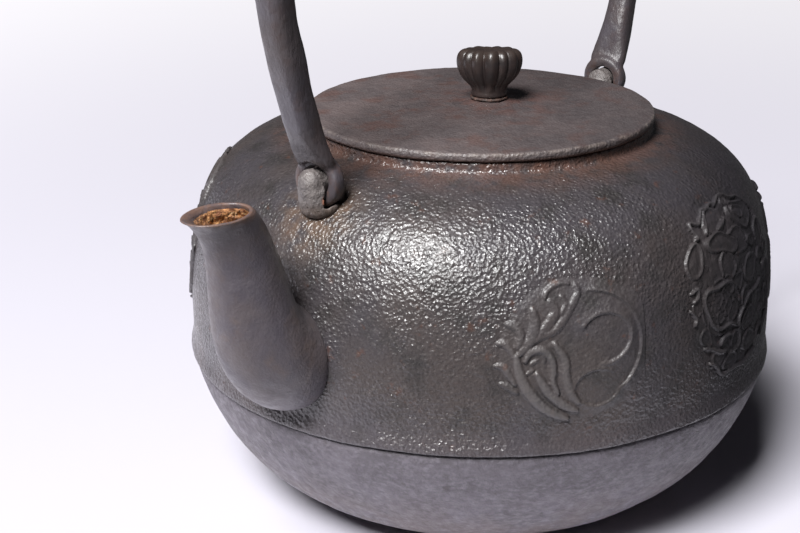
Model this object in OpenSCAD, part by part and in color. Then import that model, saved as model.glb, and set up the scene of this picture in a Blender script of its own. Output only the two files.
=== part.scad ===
// Cast iron teapot with a swinging bail and a loose lid, millimetres.
// The origin lies on the kettle's axis in its resting face, +Z is up and the spout points to -X.

/* [Body] */
// Height of the seam where the upper shell meets the base bowl
seam_h = 45; // [35:0.5:60]
// Height at which the shoulder runs into the mouth collar
shoulder_h = 111.2; // [100:0.2:130]
// Radius of the upper shell just above its lower lip
waist_r = 88.9; // [78:0.1:100]
// How far the side swells outward above the waist
belly_out = 0.5; // [0.2:0.1:4]
// How far the side runs up before the shoulder turns in
belly_rise = 38; // [22:1:42]
// How far the shoulder runs out from the collar before it turns down
shoulder_reach = 32; // [20:1:36]
// Slope of the shoulder at the collar, in degrees
shoulder_fall = 6.5; // [2:0.5:14]
// Wall of the upper shell
shell_wall = 3.4; // [2.6:0.1:4.4]
// How far the lower lip stands proud of the waist
lip_out = 0.9; // [0.6:0.1:3]
// Height of the lower lip
lip_h = 5; // [3:0.2:7]

/* [Flower roundels] */
// Height of the middle of each flower roundel cast on the shell
flower_h = 79; // [74:1:80]
// Height of the petals' rims above the shell
petal_out = 1; // [0.5:0.1:1.4]
// Width of the petals' rims
petal_rim = 1.4; // [0.8:0.1:2]

/* [Base bowl] */
// Radius of the flat resting face
foot_r = 40; // [34:0.5:52]
// How far the bowl sits back from the lip at the seam
seam_step = 0.8; // [0.4:0.1:1.6]
// Wall of the base bowl
bowl_wall = 3.4; // [2.6:0.1:4.4]
// Height of the bowl's rim inside the shell
lap_h = 5.5; // [3:0.5:8]
// How far the bowl's curve runs out from the foot before it rises
bowl_reach = 29.5; // [18:0.5:34]
// How far the bowl's side runs down before it turns in
bowl_drop = 21; // [10:1:24]
// Lean of the bowl's side at the seam, in degrees
bowl_lean = 11; // [6:1:35]

/* [Mouth] */
// Radius of the mouth opening
mouth_r = 49; // [40:0.5:54]
// Wall of the mouth collar
collar_wall = 2.5; // [2:0.1:4]
// Height of the mouth collar above the shoulder
collar_h = 3.3; // [2:0.1:6]
// Fillet between the collar and the shoulder
collar_fillet = 1.6; // [0.8:0.1:2]

/* [Lid] */
// How far the lid's rim reaches past the collar
lid_over = 1; // [0.4:0.1:2.5]
// Thickness of the lid plate
lid_t = 2.8; // [2.2:0.1:4]
// Rise of the lid plate from its rim to its middle
lid_rise = 1.5; // [0:0.1:4]
// Depth of the locating flange below the plate
flange_h = 5.5; // [3:0.5:9]
// Wall of the locating flange
flange_wall = 2.4; // [1.8:0.1:4]
// Radial play of the flange in the mouth
lid_play = 0.6; // [0.3:0.1:1.5]

/* [Knob] */
// Radius of the knob at its widest
knob_r = 9.4; // [7:0.1:13]
// Height of the knob
knob_h = 13.6; // [10:0.2:18]
// Radius of the knob's foot
knob_foot_r = 5.1; // [4.4:0.1:7]
// Number of lobes round the knob
knob_lobes = 14; // [8:1:18]
// Depth of the grooves between the lobes
knob_groove = 0.8; // [0.3:0.05:1.2]
// Depth of the hollow in the knob's top
knob_hollow = 2; // [0.8:0.1:3]
// Distance of the knob from the lid's centre, as it was set by hand
knob_off = 2.8; // [0:0.1:5]
// Direction of that distance, in degrees from +X
knob_side = -52; // [-180:1:180]
// Radius of the boss that is cast on the lid below the knob
boss_r = 7; // [6:0.1:9]
// Height of that boss
boss_h = 0.9; // [0.5:0.1:2]
// Radius of the washers above and below the lid
washer_r = 6; // [5.6:0.1:8]
// Thickness of those washers
washer_t = 1; // [0.6:0.1:1.6]
// Radius of the rivet that holds the knob
rivet_r = 2; // [1.5:0.1:2.6]
// Depth of the rivet in the knob
rivet_grip = 7; // [4:0.5:8.5]
// Radius of the rivet's peened head
rivet_head_r = 3.6; // [3.2:0.1:4.4]
// Height of the rivet's peened head
rivet_head_h = 1.6; // [1:0.1:2.4]

/* [Lugs] */
// How far each bail eye stands inside the shell's waist
lug_in = 15.4; // [12:0.1:18]
// Height of the bail's hinge axis above the shoulder at the collar
hinge_up = 0.8; // [0:0.1:6]
// Radius of the lug's egg-shaped head and foot
lug_r = 4.8; // [4.4:0.1:5.6]
// Distance of the head and of the foot from the middle of the eye
lug_spread = 1; // [0.5:0.1:2]
// Height of the lug's crown above the hinge axis
lug_crown = 4.3; // [3.9:0.1:5]
// Depth of the lug's head below the hinge axis
lug_drop = 8; // [6:0.2:9]
// Outward lean of the lug, in degrees
lug_lean = 16; // [0:1:22]
// Radius of the lug's root in the shell
root_r = 1.8; // [1.4:0.1:2]

/* [Bail] */
// Outer radius of the bail's eyes
eye_r = 7.4; // [6.8:0.1:8]
// Radius of the hole in each eye
eye_bore = 4.2; // [3.6:0.1:4.6]
// Thickness of the eyes along the hinge axis
eye_t = 4.6; // [3.6:0.1:5]
// Play between each eye and its lug on every side
eye_play = 0.35; // [0.25:0.05:0.6]
// Height of the bail's top above the hinge axis
bail_rise = 108; // [96:1:130]
// How far the bail's widest place stands outside its eyes, along its centre line
bail_swell = 16.8; // [13:0.1:24]
// Thickness of the bail rod in the plane of the arch
rod_t = 8.4; // [6.5:0.1:10]
// Width of the bail rod across the arch
rod_w = 9; // [7:0.1:11]

/* [Spout] */
// How far the spout's mouth centre stands outside the shell's waist
spout_reach = 23.8; // [17:0.1:33]
// Height of the spout's mouth
spout_h = 112.8; // [104:0.2:124]
// How far the spout's lip flares outward past its neck
spout_flare = 1.8; // [0:0.1:4]
// Height of the bore through the shell into the spout
spout_root_h = 65; // [62:0.5:72]
// Half length of the spout's mouth, outward
spout_mouth_a = 10.3; // [8:0.1:13]
// Half width of the spout's mouth
spout_mouth_b = 7.9; // [6:0.1:10]
// Half height of the spout where it meets the shell
spout_base_a = 15.2; // [13:0.1:18]
// Half width of the spout where it meets the shell
spout_base_b = 13.7; // [11:0.1:17]
// Wall of the spout
spout_wall = 2.4; // [1.6:0.1:3.2]
// Wall of the spout at its mouth
spout_lip_wall = 1.5; // [1:0.1:2.2]
// Radius of the hole through the shell into the spout
spout_bore_r = 7; // [5:0.1:9]
// Wall of the spigot that seats the spout in that hole
spigot_wall = 2; // [1.4:0.1:3]

/* [Hidden] */

side_steps = 18;       // straight steps in the shell's side
bowl_steps = 12;       // straight steps in the bowl's side
past = 1;              // how far a cutter runs past the face that it cuts
point_gap = 0.5;       // least distance between neighbouring points where two outlines meet

flower_sides = [-88.5, -16, 56, 124];    // azimuths of the flower roundels, clear of the spout
// Number, distance from the middle, radius and first angle of each ring of petals
petal_rings = [[9, 18.2, 5.6, 20], [5, 8.2, 3.9, 0], [1, 0, 3.4, 0]];
petal_root = 0.5;        // depth of a petal's root in the shell
petal_floor = 0.4;     // share of the rim's height at which a petal's hollow lies
petal_soft = 0.3;      // slope on both sides of a petal's rim

lip_r = waist_r + lip_out;
lip_round = 0.5;       // chamfer on the lip's lower edge
lip_face = 0.45;       // share of the lip's height that stands upright
bowl_r = lip_r - seam_step;
shell_in_r = waist_r - shell_wall;
lug_x = waist_r - lug_in;
hinge_h = shoulder_h + hinge_up;
spout_x = waist_r + spout_reach;
bail_half = lug_x + bail_swell;
rim_h = shoulder_h + collar_h;
collar_r = mouth_r + collar_wall;
lid_r = collar_r + lid_over;
lid_top = rim_h + lid_t;
flange_r = mouth_r - lid_play;
plate_top = lid_top + lid_rise;
under_h = plate_top - lid_t;
seat_h = plate_top + boss_h;
knob_base = seat_h + washer_t;

// Cubic curve through a and d, pulled towards b and c
function curve_at(a, b, c, d, t) =
    pow(1 - t, 3) * a + 3 * t * pow(1 - t, 2) * b + 3 * t * t * (1 - t) * c + pow(t, 3) * d;
function curve(a, b, c, d, n) = [for (i = [0:n]) curve_at(a, b, c, d, i / n)];
function reversed(v) = [for (i = [len(v) - 1:-1:0]) v[i]];
function unit(v) = v / norm(v);
// The points of an open line, moved to the left of its direction by d
function moved_left(p, d) = [for (i = [0:len(p) - 1])
    let (t = unit(p[min(i + 1, len(p) - 1)] - p[max(i - 1, 0)])) p[i] + d * [-t.y, t.x]];

// Closed surface through rings of equal length, capped at both ends
module loft(rings) {
    n = len(rings[0]);
    m = len(rings);
    pts = [for (r = rings) each r];
    polyhedron(pts, concat(
        [[for (i = [n - 1:-1:0]) i]],
        [for (k = [0:m - 2]) for (i = [0:n - 1])
            let (a = k * n + i, b = k * n + (i + 1) % n) each [[a, b, a + n], [b, b + n, a + n]]],
        [[for (i = [0:n - 1]) (m - 1) * n + i]]));
}

// Shapes on both sides of the kettle
module both_sides() {
    for (s = [0, 1]) mirror([s, 0, 0]) children();
}

// ---- Shell and bowl ----
// Outline of the shell's side and shoulder, from the lip up to the collar
waist_pt = [waist_r, seam_h + lip_h];
collar_pt = [collar_r + collar_fillet, shoulder_h];
side = curve(waist_pt, waist_pt + [belly_out, belly_rise],
    collar_pt + shoulder_reach * [cos(shoulder_fall), -sin(shoulder_fall)], collar_pt, side_steps);
side_in = [for (p = moved_left(side, shell_wall)) if (p.x > mouth_r && p.y > seam_h + lap_h) p];

// Outline of the bowl, from the foot up to the seam
foot_pt = [foot_r, 0];
seam_pt = [bowl_r, seam_h];
bowl_side = curve(foot_pt, foot_pt + [bowl_reach, 0],
    seam_pt - bowl_drop * [sin(bowl_lean), cos(bowl_lean)], seam_pt, bowl_steps);
bowl_in_r = shell_in_r - bowl_wall;
bowl_in = [for (p = moved_left(bowl_side, bowl_wall))
    if (p.x < bowl_in_r - point_gap && p.y > bowl_wall + point_gap) p];

// Everything inside the shell's outer surface, to fit pieces against it
module shell_envelope() {
    rotate_extrude($fn = 64)
        polygon(concat([[0, seam_h], [waist_r, seam_h]], side, [[0, shoulder_h]]));
}

// Everything inside the shell's inner surface
module inner_envelope() {
    rotate_extrude($fn = 64)
        polygon(concat([[0, seam_h], [shell_in_r, seam_h]], moved_left(side, shell_wall),
            [[0, shoulder_h - shell_wall]]));
}

module shell_section() {
    fillet_steps = 4;
    fillet = [for (i = [0:fillet_steps - 1]) let (a = 90 * i / fillet_steps)
        collar_pt + collar_fillet * [-sin(a), 1 - cos(a)]];
    lip = [[shell_in_r, seam_h], [lip_r - lip_round, seam_h], [lip_r, seam_h + lip_round],
        [lip_r, seam_h + lip_h * lip_face]];
    collar = [[collar_r, shoulder_h + collar_fillet], [collar_r, rim_h], [mouth_r, rim_h],
        [mouth_r, side_in[len(side_in) - 1].y]];
    polygon(concat(lip, side, fillet, collar, reversed(side_in), [[shell_in_r, seam_h + lap_h]]));
}

// Length along the side from the lip up to each of its points, and the way back from it
side_run = [for (i = 0, run = 0; i <= side_steps;
    run = run + (i < side_steps ? norm(side[i + 1] - side[i]) : 0), i = i + 1) run];
function run_up_to(h) = lookup(h, [for (i = [0:side_steps]) [side[i].y, side_run[i]]]);
function side_at(run) = [lookup(run, [for (i = [0:side_steps]) [side_run[i], side[i].x]]),
    lookup(run, [for (i = [0:side_steps]) [side_run[i], side[i].y]])];

// Shapes standing square on the shell's side, round and up from a flower's middle
module on_side(azimuth, round, up) {
    middle = run_up_to(flower_h);
    at = side_at(middle + up);
    way = side_at(middle + up + 1) - side_at(middle + up - 1);
    rotate([0, 0, azimuth + round / side_at(middle).x * 180 / PI])
        translate([at.x, 0, at.y])
            rotate([0, atan2(way.y, -way.x), 0])
                children();
}

// A round petal, hollow inside its raised rim
module petal(r) {
    hollow = petal_out * petal_floor;
    rotate_extrude($fn = 32)
        polygon([[0, -petal_root], [r, -petal_root], [r, petal_out - petal_soft],
            [r - petal_soft, petal_out], [r - petal_rim, petal_out],
            [r - petal_rim - petal_soft, hollow], [0, hollow]]);
}

// Rings of petals round a bud
module flower_roundel(azimuth) {
    for (ring = petal_rings)
        for (i = [0:ring[0] - 1])
            let (a = ring[3] + i * 360 / ring[0])
                on_side(azimuth, ring[1] * cos(a), ring[1] * sin(a)) petal(ring[2]);
}

module upper_shell() {
    color("#4d443e")
    difference() {
        rotate_extrude($fn = 64) shell_section();
        along_spout_root(spout_bore_r + spigot_wall, inside_x, lip_r + past);
        both_sides() {
            lug_root(2 * root_depth);
            eye_room();
        }
    }
}

// The cast flowers, rooted in the shell's side
module flower_relief() {
    color("#4d443e")
        for (azimuth = flower_sides) flower_roundel(azimuth);
}

module base_bowl() {
    color("#57525a")
    rotate_extrude($fn = 64)
        polygon(concat([[0, 0]], bowl_side,
            [[shell_in_r, seam_h], [shell_in_r, seam_h + lap_h], [bowl_in_r, seam_h + lap_h],
                [bowl_in_r, bowl_in[len(bowl_in) - 1].y]],
            reversed(bowl_in), [[foot_r, bowl_wall], [0, bowl_wall]]));
}

// ---- Spout ----
spout_sides = 28;
spout_rings = 20;
inside_x = shell_in_r - 6;       // a place well inside the shell, where the bore's cutters start
spigot_end = shell_in_r - 1.5;   // where the spigot stops inside the shell
spout_sink = 9.3;                 // how far the spout's outline starts inside the waist
spout_run = 31;                  // pull outward on the centre line where it leaves the shell
spout_pull = [13.5, 16];         // pull on the centre line back from the lip, inward and down
spout_turn_end = 0.8;            // share of the length over which the section turns level
neck_a = 8.4;                    // pull on the section's half length towards the neck
neck_b = 7.2;                    // pull on the section's half width towards the neck
swell_a = 1;                     // pull on the half length just outside the shell
swell_b = 1.6;                   // pull on the half width just outside the shell
lip_taper = 4;                   // how late the wall thins towards the mouth
lip_turn = 10;                   // how late the lip flares
flare_a = 0.42;                  // share of the flare by which the mouth's half length grows
flare_b = 0.25;                  // share of the flare by which the mouth's half width grows

// The spout's centre line, as distance from the axis and height
root_pt = [waist_r - spout_sink, spout_root_h];
mouth_pt = [spout_x, spout_h];
neck_pt = mouth_pt - [spout_flare, 0];
function spout_centre(t) = curve_at(root_pt, root_pt + [spout_run, 0], neck_pt - spout_pull, neck_pt, t)
    + [lip_flare_at(t), 0];
// How far the lip has flared outward
function lip_flare_at(t) = spout_flare * pow(t, lip_turn);
// The section's own tilt, from upright at the shell to level at the mouth
function spout_tilt(t) = 90 * min(1, t / spout_turn_end);
function spout_a(t) = flare_a * lip_flare_at(t)
    + curve_at(spout_base_a, spout_base_a + swell_a, neck_a, spout_mouth_a - flare_a * spout_flare, t);
function spout_b(t) = flare_b * lip_flare_at(t)
    + curve_at(spout_base_b, spout_base_b + swell_b, neck_b, spout_mouth_b - flare_b * spout_flare, t);
function spout_wall_at(t) = spout_wall + (spout_lip_wall - spout_wall) * pow(t, lip_taper);
function spout_ring(t, wall) =
    let (c = spout_centre(t), q = spout_tilt(t), a = spout_a(t) - wall, b = spout_b(t) - wall)
    [for (i = [0:spout_sides - 1]) let (w = 360 * i / spout_sides, u = a * cos(w))
        [-(c.x + u * sin(q)), b * sin(w), c.y - u * cos(q)]];

module spout_outside() {
    loft([for (k = [0:spout_rings]) spout_ring(k / spout_rings, 0)]);
}

module spout_inside() {
    rings = [for (k = [0:spout_rings]) let (t = k / spout_rings) spout_ring(t, spout_wall_at(t))];
    above = [for (p = rings[spout_rings]) p + [0, 0, past]];
    loft(concat(rings, [above]));
}

// A round rod of radius r along the bore between the shell and the spout
module along_spout_root(r, from_x, to_x) {
    translate([-to_x, 0, spout_root_h]) rotate([0, 90, 0]) cylinder(r = r, h = to_x - from_x, $fn = 48);
}

module spout() {
    skin_x = waist_r + belly_out + spout_wall;   // where the hollow starts, clear of the shell
    color("#403b40")
    difference() {
        union() {
            difference() {
                spout_outside();
                shell_envelope();
            }
            along_spout_root(spout_bore_r + spigot_wall, spigot_end, waist_r + spout_wall);
        }
        difference() {
            spout_inside();
            cylinder(r = skin_x, h = spout_h, $fn = 96);
        }
        along_spout_root(spout_bore_r, inside_x, skin_x + spout_wall);
    }
}

// ---- Lugs and bail ----
eye_round = 1;         // rounding of the eye's edges
foot_shift = 1;        // how much further the lug's foot stands from the eye than its head
root_depth = 12;       // depth of the lug's root below the shoulder
root_gap = 0.2;        // distance between the root and the eye's room
// Shift of the lug's root, which stands behind the eye and runs through the shell's wall
root_shift = -(eye_t / 2 + eye_play + root_r + root_gap);

module eye() {
    half_t = eye_t / 2;
    rim = [eye_bore + eye_round, eye_r - eye_round];
    translate([-lug_x, 0, hinge_h]) rotate([0, 90, 0]) rotate_extrude($fn = 72) {
        for (s = [-1, 1]) for (y = rim) translate([y, s * (half_t - eye_round)]) circle(r = eye_round, $fn = 24);
        translate([eye_bore, eye_round - half_t]) square([eye_r - eye_bore, eye_t - 2 * eye_round]);
        translate([rim[0], -half_t]) square([rim[1] - rim[0], eye_t]);
    }
}

// Room for the front eye wherever the bail swings, with the lug's neck left standing
module eye_room() {
    t = eye_t + 2 * eye_play;
    translate([-lug_x, 0, hinge_h]) rotate([0, 90, 0]) difference() {
        cylinder(r = eye_r + eye_play, h = t, center = true, $fn = 72);
        cylinder(r = eye_bore - eye_play, h = t + 2 * past, center = true, $fn = 48);
    }
}

// Everything of the front lug that would lie under its eye
module under_eye() {
    half_t = eye_t / 2 + eye_play;
    translate([-lug_x - half_t, -eye_r, hinge_h - 2 * eye_r])
        cube([2 * half_t, 2 * eye_r, 2 * eye_r - eye_bore]);
}

// One egg of the lug: shift runs outward from the middle of its eye, and the egg leans outward
module lug_egg(shift) {
    steps = 8;
    crown = [for (i = [0:steps]) let (a = 90 * i / steps) [lug_r * cos(a), lug_crown * sin(a)]];
    chin = [for (i = [1:steps - 1]) let (a = 90 * i / steps) [lug_r * sin(a), -lug_drop * cos(a)]];
    translate([-lug_x - shift, 0, hinge_h]) rotate([0, -lug_lean, 0])
        rotate_extrude($fn = 48) polygon(concat([[0, -lug_drop]], chin, crown));
}

module lug_root(reach) {
    translate([-lug_x - root_shift, 0, shoulder_h - root_depth]) cylinder(r = root_r, h = reach, $fn = 36);
}

// Two eggs, one outside the eye and one behind it, joined by a neck through the eye
module lug() {
    difference() {
        union() {
            lug_egg(lug_spread);
            lug_egg(-lug_spread - foot_shift);
        }
        shell_envelope();
        eye_room();
        under_eye();
    }
    difference() {
        lug_root(root_depth);
        inner_envelope();
    }
}

module lug_front() {
    color("#5c4e44") lug();
}

module lug_rear() {
    color("#5c4e44") mirror([1, 0, 0]) lug();
}

// Half of the bail's centre line, as distance from the axis and height above the hinge
foot_out = 0.5;             // how far the rod's foot stands outside the eye's middle
foot_rise = 4;              // height of the rod's foot above the hinge
foot_pull = [7, 10];        // pull on the line above its foot
waist_height = 62;          // where the arch is widest
waist_pull_low = [1.3, 18]; // pull on the line below its widest place
waist_pull_high = [0.7, 26];// pull on the line above its widest place
top_pull = 56;              // pull on the line beside its top
arch_steps = 12;
arch_foot = [lug_x + foot_out, foot_rise];
arch_waist = [bail_half, waist_height];
bail_line = concat(
    curve(arch_foot, arch_foot + foot_pull, arch_waist - waist_pull_low, arch_waist, arch_steps),
    [for (i = [1:arch_steps])
        curve_at(arch_waist, arch_waist + waist_pull_high, [top_pull, bail_rise], [0, bail_rise], i / arch_steps)]);
bail_last = len(bail_line) - 1;
bail_sides = 16;
rod_square = 0.8;           // 1 gives a round rod, less gives it softer flats
flare_to = 17;              // height above the hinge where the rod starts to flare into the eye
flare_gap = 1;              // how much narrower than the eye the rod stays on each side
head_play = 0.5;            // radial play of the lug's head in the rod's foot
function flare(h) = let (u = max(0, min(1, (flare_to - h) / (flare_to - foot_rise)))) u * u * (3 - 2 * u);
function squared(c) = sign(c) * pow(abs(c), rod_square);
function rod_ring(k) =
    let (p = bail_line[k],
        q = k == bail_last ? [-1, 0] : unit(bail_line[k + 1] - bail_line[max(k - 1, 0)]),
        s = flare(p.y),
        a = (rod_t + (eye_t - rod_t) * s) / 2,
        b = rod_w / 2 + (eye_r - flare_gap - rod_w / 2) * s)
    [for (i = [0:bail_sides - 1]) let (w = 360 * (i + 0.5) / bail_sides, u = a * squared(cos(w)))
        [-(p.x + u * q.y), b * squared(sin(w)), hinge_h + p.y - u * q.x]];
bail_rings = [for (k = [0:bail_last]) rod_ring(k)];
bail_far_rings = [for (k = [bail_last - 1:-1:0]) [for (p = bail_rings[k]) [-p.x, p.y, p.z]]];

module bail() {
    color("#4c4650")
    difference() {
        union() {
            loft(concat(bail_rings, bail_far_rings));
            both_sides() eye();
        }
        both_sides() translate([-lug_x, 0, hinge_h]) rotate([0, 90, 0]) {
            cylinder(r = eye_bore, h = rod_t + eye_t, center = true, $fn = 48);
            translate([0, 0, -rod_t - eye_t / 2]) cylinder(r = lug_r + head_play, h = rod_t, $fn = 48);
        }
    }
}

// ---- Lid and knob ----
lid_edge = 0.8;        // chamfer on the lid's rim
flange_in_r = flange_r - flange_wall;
// Height of the flat pad under the lid, level with the domed underside at the boss
pad_h = under_h - lid_rise * pow((knob_off + boss_r) / flange_in_r, 2);

module at_knob() {
    translate([knob_off * cos(knob_side), knob_off * sin(knob_side), 0]) children();
}

module rivet_hole(from_h, to_h) {
    translate([0, 0, from_h - past]) cylinder(r = rivet_r, h = to_h - from_h + 2 * past, $fn = 36);
}

module lid() {
    steps = 8;
    dome = [for (i = [0:steps]) let (u = 1 - i / steps)
        [u * (lid_r - lid_edge), lid_top + lid_rise * (1 - u * u)]];
    dome_in = [for (i = [0:steps]) let (u = i / steps) [u * flange_in_r, under_h - lid_rise * u * u]];
    rim = [[flange_r, rim_h], [lid_r - lid_edge, rim_h], [lid_r, rim_h + lid_edge], [lid_r, lid_top - lid_edge]];
    flange = [[flange_in_r, rim_h - flange_h], [flange_r, rim_h - flange_h]];
    color("#4a403c")
    difference() {
        union() {
            rotate_extrude($fn = 96) polygon(concat(rim, dome, dome_in, flange));
            at_knob() translate([0, 0, pad_h]) cylinder(r = boss_r, h = seat_h - pad_h, $fn = 48);
        }
        at_knob() rivet_hole(pad_h, seat_h);
    }
}

lobe_steps = 6;        // points round each lobe
lobe_power = 4;        // how narrow the grooves are between the lobes
knob_waist_r = knob_foot_r - 0.5;
knob_waist_h = 1.9;
knob_crown_h = knob_h * 0.76;
knob_steps = 7;                             // steps in the knob's side
knob_swell = [knob_r - 1.2, 2 * knob_waist_h];   // pull on the side above the waist
knob_shoulder = [knob_r + 0.5, knob_h * 0.62];   // pull on the side below its widest ring
knob_side_end = [knob_r - 0.1, knob_crown_h];
knob_top_in = [0.6, 1.7, 2.9, 4.4, 6.4];    // how far the rings of the top lie inside the widest
knob_top_h = [knob_h * 0.9, knob_h * 0.985, knob_h, knob_h - knob_hollow * 0.6, knob_h - knob_hollow];
knob_dip = 0.8;                             // how much of a groove's depth the top edge drops by
// The knob's outline, as radius and height above its foot
knob_line = concat(
    [[knob_foot_r, 0], [knob_waist_r, knob_waist_h]],
    [for (i = [1:knob_steps])
        curve_at([knob_waist_r, knob_waist_h], knob_swell, knob_shoulder, knob_side_end, i / knob_steps)],
    [for (i = [0:len(knob_top_in) - 1]) [knob_r - knob_top_in[i], knob_top_h[i]]]);
function groove_at(w) = knob_groove * pow(abs(sin(w * knob_lobes / 2)), lobe_power);
// One ring of the knob through outline point p; its top edge dips at every groove
function knob_ring(p) =
    let (n = knob_lobes * lobe_steps, dip = p.y < knob_top_h[1] ? 0 : knob_dip,
        share = max(0, min(1, (p.x - knob_waist_r) / (knob_r - knob_waist_r))))
    [for (i = [0:n - 1]) let (w = 360 * i / n, g = groove_at(w), r = p.x - g * share)
        [r * cos(w), -r * sin(w), p.y - dip * g]];

module knob() {
    color("#35281f")
    at_knob() translate([0, 0, knob_base]) difference() {
        loft([for (p = knob_line) knob_ring(p)]);
        rivet_hole(0, rivet_grip - past);
    }
}

module washer(from_h, to_h) {
    at_knob() difference() {
        translate([0, 0, from_h]) cylinder(r = washer_r, h = to_h - from_h, $fn = 48);
        rivet_hole(from_h, to_h);
    }
}

module knob_seat() {
    color("#5a3f30") washer(seat_h, knob_base);
}

module rivet_washer() {
    color("#6b4a33") washer(pad_h - washer_t, pad_h);
}

module knob_rivet() {
    head_h = pad_h - washer_t;
    crown_share = 0.45;   // flat middle of the peened head
    slope_share = 0.8;    // where its rounded edge starts
    edge = rivet_head_h / 4;
    head = [[0, 0], [rivet_head_r, 0], [rivet_head_r, -edge], [rivet_head_r * slope_share, -3 * edge],
        [rivet_head_r * crown_share, -rivet_head_h], [0, -rivet_head_h]];
    color("#5b4a3c") at_knob() translate([0, 0, head_h]) {
        cylinder(r = rivet_r, h = knob_base + rivet_grip - head_h, $fn = 36);
        rotate_extrude($fn = 36) polygon(head);
    }
}

upper_shell();
flower_relief();
base_bowl();
spout();
lug_front();
lug_rear();
bail();
lid();
knob();
knob_seat();
knob_rivet();
rivet_washer();
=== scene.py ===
"""Cast iron teapot: turned shell and bowl, cast spout, forged bail, lid and lobed knob."""
import math

import bmesh
import bpy
import numpy as np
from mathutils import Matrix, Vector


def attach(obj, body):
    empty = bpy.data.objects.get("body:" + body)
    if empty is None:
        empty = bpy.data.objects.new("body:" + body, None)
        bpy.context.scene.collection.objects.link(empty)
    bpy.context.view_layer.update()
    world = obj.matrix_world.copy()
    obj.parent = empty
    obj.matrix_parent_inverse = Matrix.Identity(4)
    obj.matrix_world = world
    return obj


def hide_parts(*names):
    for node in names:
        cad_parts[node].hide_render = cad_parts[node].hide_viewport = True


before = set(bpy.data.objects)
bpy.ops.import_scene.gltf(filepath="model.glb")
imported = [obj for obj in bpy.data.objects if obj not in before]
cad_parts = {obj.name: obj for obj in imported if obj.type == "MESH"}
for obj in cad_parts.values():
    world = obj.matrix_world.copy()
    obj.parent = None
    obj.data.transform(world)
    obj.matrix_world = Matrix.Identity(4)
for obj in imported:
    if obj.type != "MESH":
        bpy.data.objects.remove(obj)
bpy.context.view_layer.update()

MM = 0.001

# ---- sizes of the kettle, in millimetres and degrees ----
SEAM_H, SHOULDER_H, RIM_H = 45.0, 111.2, 114.5
WAIST_R, LIP_R, LIP_H, WALL = 88.9, 89.8, 5.0, 3.4
BELLY_OUT, BELLY_RISE, SHOULDER_REACH, SHOULDER_FALL = 0.5, 38.0, 32.0, 6.5
MOUTH_R, COLLAR_R, COLLAR_FILLET = 49.0, 51.5, 1.6
FOOT_R, BOWL_R, BOWL_REACH, BOWL_DROP, BOWL_LEAN = 40.0, 89.0, 29.5, 21.0, 11.0
LID_R, LID_TOP, LID_RISE = 52.5, 117.3, 1.5
FLANGE_R, FLANGE_IN, FLANGE_END = 48.4, 46.0, 109.0
UNDER_H, SEAT_H = 116.0, 119.7
HINGE_H, LUG_X, LUG_R = 112.0, 73.5, 4.8
EYE_R, EYE_BORE, EYE_T, EYE_PLAY = 7.4, 4.2, 4.6, 0.6
KNOB_X, KNOB_Y, KNOB_BASE, LOBES = 1.724, -2.206, 120.7, 14
SPOUT_X, SPOUT_H, SPOUT_ROOT_H, BORE_R, SPIGOT_R = 112.7, 112.8, 65.0, 7.0, 9.0
SPOUT_FLARE, FLOWER_H = 1.8, 79.0
BAIL_RISE, BAIL_HALF, ROD_T, ROD_W = 108.0, 90.3, 8.4, 9.0
FLOWER_SHARE = 0.88      # share of the drawn height that keeps the petals inside the solids' reach


# ---- bench tools ----
def clear_bench():
    """Leaves edit mode with nothing selected."""
    if bpy.context.mode != "OBJECT":
        bpy.ops.object.mode_set(mode="OBJECT")
    bpy.ops.object.select_all(action="DESELECT")


def edit():
    bpy.ops.object.mode_set(mode="EDIT")
    bpy.ops.mesh.select_mode(type="VERT")


def take(piece):
    """Puts a piece back on the bench, selected."""
    clear_bench()
    bpy.context.view_layer.objects.active = piece
    piece.select_set(True)


def done(name):
    """Ends the work on the active piece: settled place, smooth shading."""
    clear_bench()
    piece = bpy.context.view_layer.objects.active
    piece.select_set(True)
    bpy.ops.object.transform_apply(location=True, rotation=True, scale=True)
    piece.name = name
    piece.data.name = name
    bpy.ops.object.shade_smooth()
    return piece


def tidy_faces(merge=0.004):
    """Merges doubles and turns all faces outwards, in edit mode."""
    bpy.ops.mesh.select_all(action="SELECT")
    bpy.ops.mesh.remove_doubles(threshold=merge * MM)
    bpy.ops.mesh.normals_make_consistent(inside=False)


def pick(piece, wanted):
    """In edit mode, selects the points of which wanted(place in mm) is true."""
    bpy.ops.mesh.select_all(action="DESELECT")
    mesh = bmesh.from_edit_mesh(piece.data)
    for v in mesh.verts:
        v.select = wanted(v.co / MM)
    mesh.select_flush(True)
    bmesh.update_edit_mesh(piece.data)


def apply_all(piece):
    take(piece)
    for m in [m.name for m in piece.modifiers]:
        bpy.ops.object.modifier_apply(modifier=m)


def subdivide(piece, levels):
    m = piece.modifiers.new("soften", "SUBSURF")
    m.levels = m.render_levels = levels
    m.boundary_smooth = "PRESERVE_CORNERS"
    apply_all(piece)


def rough_casting(piece, name, size, depth, detail=2):
    """Moves the skin in and out a little, as on a sand casting or a hammered rod."""
    lumps = bpy.data.textures.get(name) or bpy.data.textures.new(name, "CLOUDS")
    lumps.noise_scale = size * MM
    lumps.noise_depth = detail
    m = piece.modifiers.new(name, "DISPLACE")
    m.texture = lumps
    m.texture_coords = "GLOBAL"
    m.strength = depth * MM
    m.mid_level = 0.5
    apply_all(piece)


def slow_waves(piece):
    """The wide, shallow unevenness that the shell and all that is cast on it share."""
    rough_casting(piece, "slow_waves", 22, 0.5)


def fuse(piece, voxel, smooth=4):
    """Runs overlapping solids into one skin with softened joints."""
    m = piece.modifiers.new("fuse", "REMESH")
    m.mode = "VOXEL"
    m.voxel_size = voxel * MM
    m.use_smooth_shade = True
    s = piece.modifiers.new("soften", "SMOOTH")
    s.factor = 0.5
    s.iterations = smooth
    apply_all(piece)


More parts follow.
